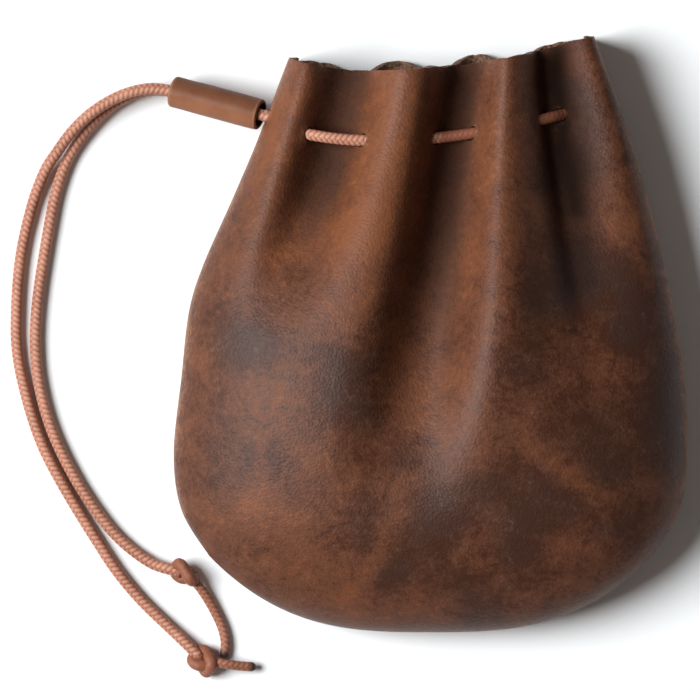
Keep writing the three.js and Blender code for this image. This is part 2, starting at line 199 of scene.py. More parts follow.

# Stains on the front, with rows of painted shade among them: place, radius and strength, dark above
# zero and rusty below
STAINS_AND_SHADE = (
    (-39, -3, 5.5, 1.3), (-46, 5, 5, 0.45), (-29, 6, 5, 0.4), (-14, 15, 3, 0.5), (-15, 4, 4, 0.5),
    (-18, -5, 4.5, 0.7), (-12, -6, 3, 0.4), (-23, -12, 6, 0.7), (-16, -16, 6, 0.8),
    # (5, -33) and (6, -26) here, and (4, -36) further on, are painted shade that tones down the sheen
    # low in the middle
    (5, -33, 7, 0.15), (6, -26, 5, 0.2), (26, 9, 7, 0.9), (40, 15, 4, 0.6), (43, 9, 4, 0.6),
    (45, 2, 4, 0.8), (40, 0, 3, 0.6), (7, -2, 2.5, 0.6), (8, 3, 2.5, 0.4), (18, -7, 4.5, 0.7),
    (49, -8, 4, 0.6), (49, -16, 4, 0.7), (-36, -25, 4, 0.6), (-43, -30, 8, 0.5), (-28, -36, 4, 0.5),
    (-5, -25, 4, 0.6), (-9, -50, 3.5, 0.7), (-12, -54, 3.5, 0.6), (0, -41, 6, 0.4),
    (-14, -41, 4.5, 0.5), (-32, -53, 4, 0.4), (-39, -49, 3.5, 0.4), (22, -40, 5, 0.4),
    (21, -47, 5.5, 0.45), (24, -30, 4, 0.35), (12, -33, 3, 0.4), (29, -37, 3.5, 0.35),
    (37, -30, 3.5, 0.6), (38, -39, 4, 0.5), (47, -41, 4, 0.6), (50, -25, 4, 0.5), (12, -59, 4, 0.6),
    # (34, 50) and (36, 36) are partly painted shade on the ridge beyond the right pleat, (27.5, 51),
    # (30, 33) and (31.5, 18) painted shadow down the right pleat's bank, and (38, 4), (42, -18) and
    # (30, -42) partly painted shade that darkens the right half
    (6, -54, 4, 0.5), (34, 50, 8, 0.7), (36, 36, 7, 0.5), (27.5, 51, 3, 0.5), (30, 33, 4, 0.5),
    (31.5, 18, 4.5, 0.6), (38, 4, 14, 0.5), (42, -18, 14, 0.45), (30, -42, 16, 0.35),
    (-46, -14, 6, 0.4), (20, -24, 9, 0.25), (32, -23, 5, 0.3), (4, -36, 6, 0.2),
    (-8, -44, 12, 0.35), (10, -46, 11, 0.35), (-18, 22, 6, -0.7), (-34, -11, 6, -0.45),
    (-32, 17, 5, -0.4), (9, 17, 5, -0.6), (11, 39, 6, -0.5), (42, 24, 6, -0.7), (40, -5, 5, -0.6),
    (30, -2, 5, -0.3), (-37, -37, 3.5, -0.5), (-16, -56, 4.5, -0.6), (-30, -46, 4.5, -0.4),
    (29, -43, 4, -0.3), (31, -47, 4, -0.3), (10, -48, 4, -0.4), (50, -39, 4, -0.6),
    (8, -23, 4.5, -0.3), (-9, -8, 5, -0.5), (-28, 46, 6, -0.4), (-15, 46, 6, -0.4),
)
# Rusty streaks, and painted highlight along the crests of the folds, on the front: from, to, half
# width and strength
STREAKS_AND_CREST_SHEEN = (
    ((18, -21), (38, -36), 2.8, 0.6), ((-6, -32), (-12, -49), 2.4, 0.5),
    ((-12, -49), (-17, -57), 3.0, 0.5), ((-31, -39), (-26, -39.5), 1.6, 0.4),
    ((-40, -36), (-34, -37.5), 1.6, 0.4), ((-36, -22), (-36, -38), 1.4, 0.3),
    # these rows, to the end, are painted highlight along the crests of the folds
    ((-24, 35), (-22, 22), 1.6, 0.2), ((-32, 56), (-36, 34), 4.0, 0.5),
    ((-8, 56), (-8, 39), 5.0, 0.5), ((-8, 39), (-15, 18), 5.5, 0.7),
    ((-15, 18), (-20, 4), 5.5, 0.4), ((11, 3), (4, -18), 5.5, 0.3),
)
# The bank of the right pleat, darkened with painted shadow of the middle ridge, like the painted shade
# at the bottoms of the pleats, in the same columns
PAINTED_BANK_SHADOW = (
    ((26.8, 60), (28.8, 40), 3.6, 1.4), ((28.8, 40), (31, 27), 4.6, 1.4),
    ((31, 27), (32, 12), 4.4, 1.0),
)

# The slider's two end centres, how uneven it is, and its marks
SLIDER_INNER_END = Vector((-36.3, 46.85, 11.2))
SLIDER_OUTER_END = Vector((-55.0, 51.9, 6.2))
SLIDER_SIDES = 36
SLIDER_STEPS = 8
SLIDER_UNEVEN = 0.22
SLIDER_PACE = 0.16  # how quickly its unevenness changes
SLIDER_WEAR_REACH = 1.6  # how far the wear goes from an end
SLIDER_BORE = 0.72, 0.12  # share of the half width where the bore's near-black painted shade ends, and its soft edge
SLIDER_DARK_FROM = 0.7  # place across it, in half widths, where the painted shade on its side towards +Y begins


def length_setting(name, description, default):
    return FloatProperty(name=name, description=description, default=default, unit="LENGTH")


def colour_setting(name, description, default):
    return FloatVectorProperty(
        name=name, description=description, default=default, subtype="COLOR", min=0, max=1)


class PouchLeather(bpy.types.PropertyGroup):
    """Sizes and colours of the two leather panels and the slider."""

    wall: length_setting("Wall", "Thickness of the leather", 0.0016)
    seam_roll: length_setting("Seam roll", "Radius with which a panel turns in to the seam", 0.0019)
    cut_edge: length_setting("Cut edge", "Rounding of the cut edges", 0.00035)
    rim_rise: length_setting("Hole rim", "How far the leather stands up round a cord hole", 0.0005)
    slider_width: length_setting("Slider width", "The slider's width", 0.0068)
    slider_height: length_setting("Slider height", "The slider's height", 0.0086)
    slider_wall: length_setting("Slider wall", "Thickness of the slider's leather", 0.0013)
    brown: colour_setting("Brown", "Main colour of the oiled leather", (0.112, 0.0385, 0.0185))
    rust: colour_setting("Rust", "Redder patches", (0.172, 0.056, 0.0215))
    umber: colour_setting("Umber", "Darker mottling", (0.053, 0.017, 0.008))
    charcoal: colour_setting("Charcoal", "Dark oily patches", (0.043, 0.0235, 0.019))
    worn: colour_setting("Worn", "Rubbed edges and specks", (0.3, 0.145, 0.08))
    # painted shade: the near-black of the pleats' bottoms, the right pleat's bank and the slider's
    # bore
    painted_shade: colour_setting(
        "Burnish", "Oil darkened by handling, down in the pleats", (0.014, 0.005, 0.0025))
    flesh: colour_setting("Flesh side", "Rough inside and cut edges", (0.2, 0.105, 0.06))
    slider_colour: colour_setting(
        "Slider", "Colour of the slider's smooth leather", (0.265, 0.106, 0.053))


class PouchCord(bpy.types.PropertyGroup):
    """Sizes and colours of the waxed, plaited cord."""

    diameter: length_setting("Diameter", "Diameter of the cord", 0.0025)
    tail_diameter: length_setting(
        "Tail diameter", "Diameter of the pinched tails beyond the knots", 0.0021)
    plait_depth: length_setting(
        "Plait depth", "Depth of the grooves between the plaited strands", 0.0001)
    plait_length: length_setting(
        "Plait length", "Distance along the cord from one strand to the next", 0.00115)
    plaits_round: IntProperty(
        name="Strands each way", description="Number of strands that wind each way round the cord",
        default=4)
    colour: colour_setting("Cord", "Crowns of the plaits", (0.55, 0.252, 0.167))
    # partly painted shade: the grooves and the places where a strand goes under another are darker
    groove_colour: colour_setting("Grooves", "Grooves between the plaits", (0.22, 0.075, 0.04))
    tip_colour: colour_setting("Tips", "Melted tips of the tails", (0.045, 0.02, 0.014))


class PouchStage(bpy.types.PropertyGroup):
    """The camera, the light and the floor."""

    view_width: length_setting("View width", "Width of the picture at the pouch", 0.1496)
    camera_height: length_setting("Camera height", "Height of the camera above the pouch's seam", 3.0)
    view_centre: FloatVectorProperty(
        name="View centre", description="Place that the camera looks at, at the seam's height",
        default=(-0.0172, -0.0034, 0.009), size=3, subtype="TRANSLATION")
    key_power: FloatProperty(
        name="Key light", description="Power of the soft light on the left", default=68.0,
        unit="POWER")
    key_colour: colour_setting(
        "Key colour", "Colour of the soft light on the left, like a window's", (0.93, 0.97, 1.0))
    fill_power: FloatProperty(
        name="Fill light", description="Power of the soft light on the right", default=2.0,
        unit="POWER")
    floor_colour: colour_setting("Floor", "Colour of the floor", (0.9, 0.895, 0.89))
    room_colour: colour_setting(
        "Room colour", "Colour of the even light from all round", (1.0, 0.92, 0.85))
    room_light: FloatProperty(
        name="Room light", description="Strength of the even light from all round", default=0.07)


class Value:
    """A shader socket that arithmetic can be written with."""

    def __init__(self, finish, socket):
        self.finish = finish
        self.socket = socket

    def math(self, operation, *values):
        return self.finish.node(
            "ShaderNodeMath", {"operation": operation}, dict(enumerate(values)))

    def __add__(self, other):
        return self.math("ADD", self, other)

    def __sub__(self, other):
        return self.math("SUBTRACT", self, other)

    def __rsub__(self, other):
        return self.math("SUBTRACT", other, self)

    def __mul__(self, other):
        return self.math("MULTIPLY", self, other)

    __radd__ = __add__
    __rmul__ = __mul__

    def ramp(self, low, high):
        """0 below low, 1 above high and smooth between."""
        return self.finish.node(
            "ShaderNodeMapRange", {"interpolation_type": "SMOOTHSTEP"},
            {"Value": self, "From Min": low, "From Max": high})


class Finish:
    """A material whose nodes are written as expressions."""

    def __init__(self, name):
        self.material = bpy.data.materials.new(name)
        self.material.use_nodes = True
        self.tree = self.material.node_tree
        self.shader = self.tree.nodes["Principled BSDF"]
        self.place = self.node("ShaderNodeTexCoord", output="Object")

    def node(self, kind, settings=None, sockets=None, output=0):
        """Add a node, set it up, fill or link its sockets and return one of its outputs."""
        made = self.tree.nodes.new(kind)
        for name, setting in (settings or {}).items():
            setattr(made, name, setting)
        for key, value in (sockets or {}).items():
            self.feed(made.inputs[key], value)
        return Value(self, made.outputs[output])

    def feed(self, socket, value):
        if isinstance(value, Value):
            self.tree.links.new(value.socket, socket)
        elif hasattr(value, "__len__") and socket.type == "RGBA":
            socket.default_value = (*value[:3], 1.0)
        else:
            socket.default_value = value

    def attribute(self, name):
        return self.node("ShaderNodeAttribute", {"attribute_name": name}, output="Fac")

    def noise(self, scale, detail=3.0, roughness=0.55, distortion=0.0):
        return self.node("ShaderNodeTexNoise", None, {
            "Vector": self.place, "Scale": scale, "Detail": detail, "Roughness": roughness,
            "Distortion": distortion}, output="Fac")

    def blend(self, share, first, second):
        """A colour between two, by a share from 0 to 1."""
        made = self.tree.nodes.new("ShaderNodeMix")
        made.data_type = "RGBA"
        colours = [socket for socket in made.inputs if socket.type == "RGBA"]
        self.feed(made.inputs["Factor"], share)
        self.feed(colours[0], first)
        self.feed(colours[1], second)
        return Value(self, next(s for s in made.outputs if s.type == "RGBA"))

    def surface(self, **sockets):
        """Feed the shader's sockets, named with underscores for spaces."""
        for name, value in sockets.items():
            self.feed(self.shader.inputs[name.replace("_", " ")], value)

    def bump(self, height, depth):
        self.surface(Normal=self.node(
            "ShaderNodeBump", None, {"Height": height, "Distance": depth, "Strength": 1.0}))


def leather_finish(leather):
    """Oiled leather with dark and rusty patches, some of them painted shade and highlight, worn edges,
    painted shade down in the pleats and a rough flesh side.
    """
    finish = Finish("oiled_leather")
    clouds = finish.noise(55.0, detail=6.0, roughness=0.65, distortion=0.8)
    patches = finish.noise(170.0, detail=8.0, roughness=0.72, distortion=0.6)
    specks = finish.noise(800.0, detail=5.0, roughness=0.75)
    flecks = finish.noise(2400.0, roughness=0.6)
    fibres = finish.noise(1500.0, detail=2.0)
    # real stains, with painted shade and painted highlight among them
    stain = finish.attribute("stain")
    wear = finish.attribute("wear")
    flesh = finish.attribute("flesh")
    crease = finish.attribute("crease")
    mottle = 1.4 * (patches - 0.5) + 1.1 * (specks - 0.5) + 0.6 * (flecks - 0.5)
    tone = 0.5 + 0.5 * (clouds - 0.5) + mottle - 0.5 * stain
    colour = finish.blend(tone.ramp(0.05, 0.55), leather.umber, leather.brown)
    colour = finish.blend(tone.ramp(0.45, 1.0), colour, leather.rust)
    oily = (stain + 0.8 * mottle).ramp(0.3, 1.1)
    colour = finish.blend(oily * 0.65, colour, leather.charcoal)
    # painted shade, down in the pleats and on the right pleat's bank
    colour = finish.blend(crease * 0.7, colour, leather.painted_shade)
    rubbed_and_shaded = (wear + 1.6 * mottle - 0.6 * crease).ramp(0.2, 1.5)
    colour = finish.blend(rubbed_and_shaded * 0.8, colour, leather.worn)
    raw = finish.blend(fibres.ramp(0.35, 0.7), leather.flesh, leather.charcoal)
    finish.surface(Base_Color=finish.blend(flesh, colour, raw), Specular_IOR_Level=0.19)
    finish.surface(
        Roughness=0.5 + 0.25 * (patches - 0.5) - 0.05 * oily + 0.35 * flesh + 0.35 * crease)
    cells = finish.node("ShaderNodeTexVoronoi", {"feature": "SMOOTH_F1"}, {
        "Vector": finish.place, "Scale": 1700.0, "Smoothness": 0.6}, output="Distance")
    grain = specks * 0.5 + flecks * 0.6 - cells * 0.6
    finish.bump(grain + flesh * fibres, depth=0.00012)
    return finish.material


def slider_finish(leather):
    """Smoother, lighter leather with painted shade on one side and a near-black painted shade in its
    bore, and a little wear at the ends.
    """
    finish = Finish("slider_leather")
    patches = finish.noise(220.0, detail=5.0, roughness=0.6)
    flecks = finish.noise(1400.0)
    wear = finish.attribute("wear")
    flesh = finish.attribute("flesh")
    # painted shade on the slider's side towards +Y, with random patches
    dark = finish.attribute("handled") * 0.7 + patches.ramp(0.4, 0.8) * 0.3
    colour = finish.blend(dark, leather.slider_colour, leather.brown)
    colour = finish.blend((wear + flecks * 0.4).ramp(0.6, 1.3) * 0.7, colour, leather.worn)
    # the bore is painted near-black: painted shade
    finish.surface(Base_Color=finish.blend(flesh, colour, leather.painted_shade), Specular_IOR_Level=0.12)
    finish.surface(Roughness=0.5 + 0.15 * (patches - 0.5) + 0.4 * flesh)
    finish.bump(flecks + 0.5 * finish.noise(2600.0, detail=2.0), depth=0.00004)
    return finish.material


def cord_finish(cord):
    """Waxed plaited cord: light crowns, darker grooves, partly painted shade, and melted tips."""
    finish = Finish("waxed_cord")
    crown = finish.attribute("crown")
    tip = finish.attribute("tip")
    patches = finish.noise(160.0)
    fibres = finish.noise(5200.0, detail=2.0, roughness=0.7)
    shade = (crown + 0.5 * (patches - 0.5) + 0.35 * (fibres - 0.5)).ramp(0.1, 0.95)
    colour = finish.blend(shade, cord.groove_colour, cord.colour)
    finish.surface(Base_Color=finish.blend(tip, colour, cord.tip_colour), Specular_IOR_Level=0.25)
    finish.surface(Roughness=0.5 - 0.1 * crown + 0.15 * (fibres - 0.5))
    finish.bump(fibres, depth=0.00006)
    return finish.material


def floor_finish(stage):
    finish = Finish("pale_floor")
    mottle = finish.noise(30.0, detail=2.0)
    darker = [0.985 * value for value in stage.floor_colour]
    finish.surface(
        Base_Color=finish.blend(mottle.ramp(0.3, 0.7), stage.floor_colour, darker), Roughness=0.85,
        Specular_IOR_Level=0.2)
    return finish.material


def clamp_share(values):
    return np.clip(values, 0.0, 1.0)


def smooth_share(values):
    shares = clamp_share(values)
    return shares * shares * (3 - 2 * shares)


def column(name, v):
    """Uniform Catmull-Rom through one column of SECTIONS, at shares v of the way up."""
    values = SECTIONS[:, SECTION_COLUMNS.index(name)]
    last = len(values) - 1
    at = clamp_share(v) * last
    i = np.minimum(at.astype(int), last - 1)
    before, start, end, after = (values[np.clip(i + k, 0, last)] for k in (-1, 0, 1, 2))
    f = at - i
    slope_in = (end - before) / 2
    slope_out = (after - start) / 2
    return ((2 * start - 2 * end + slope_in + slope_out) * f ** 3
            + (3 * end - 3 * start - 2 * slope_in - slope_out) * f ** 2 + slope_in * f + start)


def plan_place(u, v, mouth_dip):
    """Where points u across and v along lie on the table."""
    x = column("left", v) * (1 - u) + column("right", v) * u
    side = column("y", v) + column("right_lift", v) * u
    skewed = u ** MOUTH_SKEW
    bottom = BOTTOM_DROP * (1 - np.abs(2 * u - 1) ** 3)
    return x, side - (1 - v) * bottom - v * mouth_dip * 4 * skewed * (1 - skewed)


def arch_share(u, v):
    """How far the wall has risen from the seam, 0 on it and 1 over the middle."""
    across = 1 - np.abs(2 * u - 1) ** column("squareness", v)
    along = 1 - np.maximum(0, 1 - v / BOTTOM_ROUND) ** BOTTOM_SQUARENESS
    either = across + along - across * along
    return np.sqrt(across * along / np.maximum(either, 1e-12))


def folds_at(folds, x, y, mouth_y):
    """How far the folds move places on the table: along X, along Y and up."""
    moved = np.zeros((3, len(x)))
    for mouth_x, fade_x, fade_y, bend, rise, half, skew, widen, hold, lean, draw in folds:
        run = clamp_share((mouth_y - y) / (mouth_y - fade_y))
        away = (x - mouth_x - (fade_x - mouth_x) * run ** bend) / (half * (1 + widen * run))
        away *= np.where(away > 0, skew ** -0.5, skew ** 0.5)
        share = np.exp(-np.abs(away) ** FOLD_SHARPNESS) * (1 - smooth_share((run - hold) / (1 - hold)))
        moved += np.outer((lean, -draw, rise), share)
    return moved


def eased(s, both):
    """Even steps from 0 to 1 that start slowly over SEAM_EASE, and end so too if both."""
    scale = 1 / (1 - (SEAM_EASE if both else SEAM_EASE / 2))
    steps = np.where(s < SEAM_EASE, scale * s * s / (2 * SEAM_EASE), scale * (s - SEAM_EASE / 2))
    ending = 1 - scale * (1 - s) ** 2 / (2 * SEAM_EASE)
    return np.where(s > 1 - SEAM_EASE, ending, steps) if both else steps


def front_folds(s, t):
    """Where the front lies before its folds, the arch's share there, and what the folds add."""
    u, v = eased(s, True), eased(t, False)
    x, y = plan_place(u, v, FRONT_MOUTH_DIP)
    arch = arch_share(u, v)
    seam = column("seam", v)
    mouth_y = plan_place(u, np.ones_like(u), FRONT_MOUTH_DIP)[1]
    fold = folds_at(FRONT_FOLDS, x, y, mouth_y) * (arch, arch, arch ** FRONT_FOLD_ONSET)
    flat = np.column_stack([x, y, seam + GAP / 2 + (column("crest", v) - seam) * arch])
    return flat, fold.T


def front_surface(s, t):
    flat, fold = front_folds(s, t)
    return flat + fold


def back_surface(s, t):
    u, v = eased(s, True), eased(t, False)
    x, y = plan_place(u, v, BACK_MOUTH_DIP)
    flat = np.minimum(1, arch_share(u, v) / BACK_FLAT_FROM)
    mouth_y = plan_place(u, np.ones_like(u), BACK_MOUTH_DIP)[1]
    fold = folds_at(BACK_FOLDS, x, y, mouth_y)
    z = (column("seam", v) - GAP / 2) * (1 - flat) ** 2 + fold[2] * flat ** BACK_FOLD_ONSET
    return np.column_stack([x, y + fold[1] * flat, z])


def drawstring_route():
    x, z = np.array(DRAWSTRING_STOPS).T
    left, right = column("left", np.ones(1)), column("right", np.ones(1))
    u = clamp_share((x - left) / (right - left))
    mouth_y = plan_place(u, np.ones_like(u), FRONT_MOUTH_DIP)[1]
    return np.column_stack([x, mouth_y - CORD_BELOW_MOUTH, z])


def smooth_line(points, step):
    """Evenly spaced points along a centripetal Catmull-Rom curve, as the part's cords use."""
    ends = 2 * points[0] - points[1], 2 * points[-1] - points[-2]
    held = np.vstack([ends[0], points, ends[1]])
    steps = 24
    f = np.linspace(0, 1, steps, endpoint=False)[:, None]
    dense = []
    for p0, p1, p2, p3 in zip(held, held[1:], held[2:], held[3:]):
        d0, d1, d2 = (math.sqrt(np.linalg.norm(b - a)) for a, b in ((p0, p1), (p1, p2), (p2, p3)))
        m1 = ((p1 - p0) / d0 - (p2 - p0) / (d0 + d1) + (p2 - p1) / d1) * d1
        m2 = ((p2 - p1) / d1 - (p3 - p1) / (d1 + d2) + (p3 - p2) / d2) * d1
        dense.append((2 * f ** 3 - 3 * f ** 2 + 1) * p1 + (f ** 3 - 2 * f ** 2 + f) * m1
                     + (3 * f ** 2 - 2 * f ** 3) * p2 + (f ** 3 - f ** 2) * m2)
    dense = np.vstack([*dense, points[-1:]])
    return even_steps(dense, step)


def even_steps(line, step):
    """The same line with its points the same distance apart."""
    along = np.concatenate([[0], np.cumsum(np.linalg.norm(np.diff(line, axis=0), axis=1))])
    places = np.linspace(0, along[-1], max(2, round(along[-1] / step)) + 1)
    return np.column_stack([np.interp(places, along, line[:, k]) for k in range(3)])


def line_length(line):
    return float(np.linalg.norm(np.diff(line, axis=0), axis=1).sum())


def side_directions(line):
    """Two directions across a line at each point, carried along it without twist."""
    tangents = np.gradient(line, axis=0)
    tangents /= np.linalg.norm(tangents, axis=1)[:, None]
    start = np.cross(tangents[0], (0.0, 0.0, 1.0))
    if np.linalg.norm(start) < 0.1:
        start = np.cross(tangents[0], (0.0, 1.0, 0.0))
    first = [start / np.linalg.norm(start)]
    for tangent in tangents[1:]:
        carried = first[-1] - tangent * (first[-1] @ tangent)
        first.append(carried / np.linalg.norm(carried))
    first = np.array(first)
    return first, np.cross(tangents, first)


def lone_object(name, mesh):
    piece = bpy.data.objects.new(name, mesh)
    bpy.context.scene.collection.objects.link(piece)
    bpy.ops.object.select_all(action="DESELECT")
    piece.select_set(True)
    bpy.context.view_layer.objects.active = piece
    return piece


def apply_modifier(piece, kind, **settings):
    modifier = piece.modifiers.new(kind.title(), kind)
    for name, setting in settings.items():
        setattr(modifier, name, setting)
    bpy.ops.object.modifier_apply(modifier=modifier.name)


def store_values(piece, **layers):
    """Keep one number for each vertex under each name, for the materials to read."""
    for name, values in layers.items():
        layer = piece.data.attributes.new(name, "FLOAT", "POINT")
        layer.data.foreach_set("value", np.ascontiguousarray(values, dtype=np.float32))


def vertex_places(piece):
    """The piece's vertices in millimetres."""
    places = np.empty(3 * len(piece.data.vertices))
    piece.data.vertices.foreach_get("co", places)
    return places.reshape(-1, 3) / MM


def move_vertices(piece, places):
    piece.data.vertices.foreach_set("co", np.ascontiguousarray(places * MM).ravel())
    piece.data.update()


def search_tree(places):
    """A tree that finds the nearest of these places."""
    tree = kdtree.KDTree(len(places))
    for i, place in enumerate(places):
        tree.insert(place, i)
    tree.balance()
    return tree


def tube(name, line, radii, sides):
    """A closed tube along a line, with one radius for each ring and side."""
    first, second = side_directions(line)
    turn = 2 * np.pi * np.arange(sides) / sides
    outward = first[:, None] * np.cos(turn)[:, None] + second[:, None] * np.sin(turn)[:, None]
    rings = line[:, None] + outward * radii[:, :, None]
    count = len(line)
    corner = np.arange(count * sides).reshape(count, sides)
    ahead = np.roll(corner, -1, axis=1)
    walls = np.stack([corner[:-1], ahead[:-1], ahead[1:], corner[1:]], axis=-1).reshape(-1, 4)
    faces = [*walls.tolist(), corner[0, ::-1].tolist(), corner[-1].tolist()]
    mesh = bpy.data.meshes.new(name)
    mesh.from_pydata((rings.reshape(-1, 3) * MM).tolist(), [], faces)
    piece = lone_object(name, mesh)
    bpy.ops.object.shade_smooth()
    return piece


def plaited_tube(name, line, diameter, cord, tip_end=False, polish_and_shade=1.0):
    """A round plait along a line, with its strands as real shape and melted tips.

    Strands wind both ways, each over two and under two, so they show as rows of slanted strokes.
    The last argument is how light their crowns are, for all rings or for each; where it is low, on the
    gathering cord and the knots, that is painted shade.
    """
    sides = SIDES_PER_STRAND * cord.plaits_round
    radius = diameter / 2
    along = np.linspace(0, line_length(line), len(line))[:, None]
    share_round = cord.plaits_round * np.arange(sides) / sides
    climb = along * MM / cord.plait_length
    right, left = share_round + climb, share_round - climb
    weave = (np.floor(right) + np.floor(left)) % 4
    right_on_top = weave < 2
    across = np.where(right_on_top, right % 1, left % 1)
    over = np.where(right_on_top, weave + left % 1, weave - 2 + right % 1) / 2
    dip = 0.4  # a strand's height where it comes up from under another
    crown = np.sqrt(np.sin(np.pi * across)) * (dip + (1 - dip) * np.sqrt(np.sin(np.pi * over)))
    radii = radius - (1 - crown) * cord.plait_depth / MM
    tip = np.zeros_like(crown)
    if tip_end:
        from_end = along[-1] - along
        narrowest, melted_length, melted_fade, melted_width = 0.02, 0.8, 1.6, 0.97
        dome = np.sqrt(1 - (1 - np.clip(from_end / radius, narrowest, 1)) ** 2)
        melted = 1 - smooth_share((from_end - melted_length) / melted_fade)
        radii = (radii * (1 - melted) + radius * melted_width * melted) * dome
        tip = melted * np.ones_like(crown)
    piece = tube(name, line, radii, sides)
    store_values(piece, crown=(polish_and_shade * crown).ravel(), tip=tip.ravel())
    return piece


def dress(piece, slot, material, *nodes):
    """Give a finished piece its material, hang it from the root body and hide the solids that it
    stands for.
    """
    piece.data.materials.clear()
    piece.data.materials.append(material)
    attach(piece, "root")
    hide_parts(*nodes)


def overhand_knot():
    """The middle line of a tight overhand knot in a cord of diameter 1, pulled along X.

    A wide loop is drawn in by shortening its links round by round, while the cord's turns push
    each other away.
    """
    opening = 0.25  # half the angle that is left open between the loop's ends
    turn = np.linspace(opening, 2 * np.pi - opening, 90)
    reach = 2 + np.cos(3 * turn)
    loop = np.column_stack([reach * np.sin(2 * turn), reach * np.cos(2 * turn), -np.sin(3 * turn)])
    lead = np.array([(9.0, 3.6, 0.0), (2.0, 3.6, 0.0), (0.5, 3.3, 0.0), (0.6, 2.9, 0.0)])
    start = np.vstack([lead, loop, (lead * (-1, 1, 1))[::-1]])
    count = 150
    fine_step = 0.05
    line = even_steps(even_steps(start, fine_step), line_length(start) / (count - 1))[:count]
    count = len(line)
    ends = line[[0, -1]] * (1, 0, 0)
    apart = np.abs(np.subtract.outer(np.arange(count), np.arange(count)))
    taken_up = 11.2  # cord in the tight knot, beyond the straight way between its ends
    full = line_length(line) / (count - 1)
    tight = (np.linalg.norm(ends[1] - ends[0]) + taken_up) / (count - 1)
    rounds, drawn_by = 900, 0.75  # the rest of the rounds let the tight knot settle
    stiffness, passes, grip, own_turn, push_share = 0.12, 6, 0.2, 1.6, 0.3
    for done in range(rounds):
        link = full + (tight - full) * min(1, done / (drawn_by * rounds))
        line[1:-1] += stiffness * (line[:-2] + line[2:] - 2 * line[1:-1])
        for _ in range(passes):
            for first in (0, 1):
                a, b = line[first:-1:2], line[first + 1::2]
                step = b - a
                size = np.linalg.norm(step, axis=1)[:, None]
                shift = 0.5 * step * (1 - link / size)
                line[first:-1:2] += shift
                line[first + 1::2] -= shift
            line[[0, -1]] += grip * (ends - line[[0, -1]])
        between = line[:, None] - line[None]
        distance = np.linalg.norm(between, axis=2) + np.eye(count)
        pressed = (distance < 1) & (apart * link > own_turn)
        push = np.where(pressed, push_share * (1 - distance) / distance, 0.0)
        line += (push[:, :, None] * between).sum(axis=1)
    return line


class POUCH_OT_stage(bpy.types.Operator):
    """Set up the camera straight above, the soft light and the pale floor"""

    bl_idname = "pouch.stage"
    bl_label = "Stage"

    def execute(self, context):
        stage = context.scene.pouch_stage
        sensor = 36.0
        camera = bpy.data.cameras.new("camera_above")
        camera.sensor_width = sensor
        camera.lens = sensor * stage.camera_height / stage.view_width
        camera.clip_end = 50
        holder = bpy.data.objects.new("camera_above", camera)
        holder.location = Vector(stage.view_centre) + Vector((0, 0, stage.camera_height))
        context.scene.collection.objects.link(holder)
        context.scene.camera = holder

        self.add_light("key_light", KEY_PLACE, stage.key_power, stage.key_colour)
        self.add_light("fill_light", FILL_PLACE, stage.fill_power, stage.room_colour)
        world = bpy.data.worlds.new("room")
        world.use_nodes = True
        background = world.node_tree.nodes["Background"]
        background.inputs["Color"].default_value = (*stage.room_colour, 1)
        background.inputs["Strength"].default_value = stage.room_light
        context.scene.world = world
        context.scene.view_settings.view_transform = "Standard"

        bpy.ops.object.select_all(action="DESELECT")
        bpy.ops.mesh.primitive_plane_add(size=FLOOR_SIZE, location=(0, 0, -FLOOR_DROP))
        floor = context.object
        floor.name = "floor"
        bpy.ops.object.transform_apply()
        floor.data.materials.append(floor_finish(stage))
        return {"FINISHED"}

    def add_light(self, name, place, power, colour):
        light = bpy.data.lights.new(name, "AREA")
        light.energy = power
        light.color = colour
        light.shape = "DISK"
        light.size = LIGHT_SIZE
        holder = bpy.data.objects.new(name, light)
        holder.location = place
        holder.rotation_euler = (-Vector(place)).to_track_quat("-Z", "Y").to_euler()
        bpy.context.scene.collection.objects.link(holder)


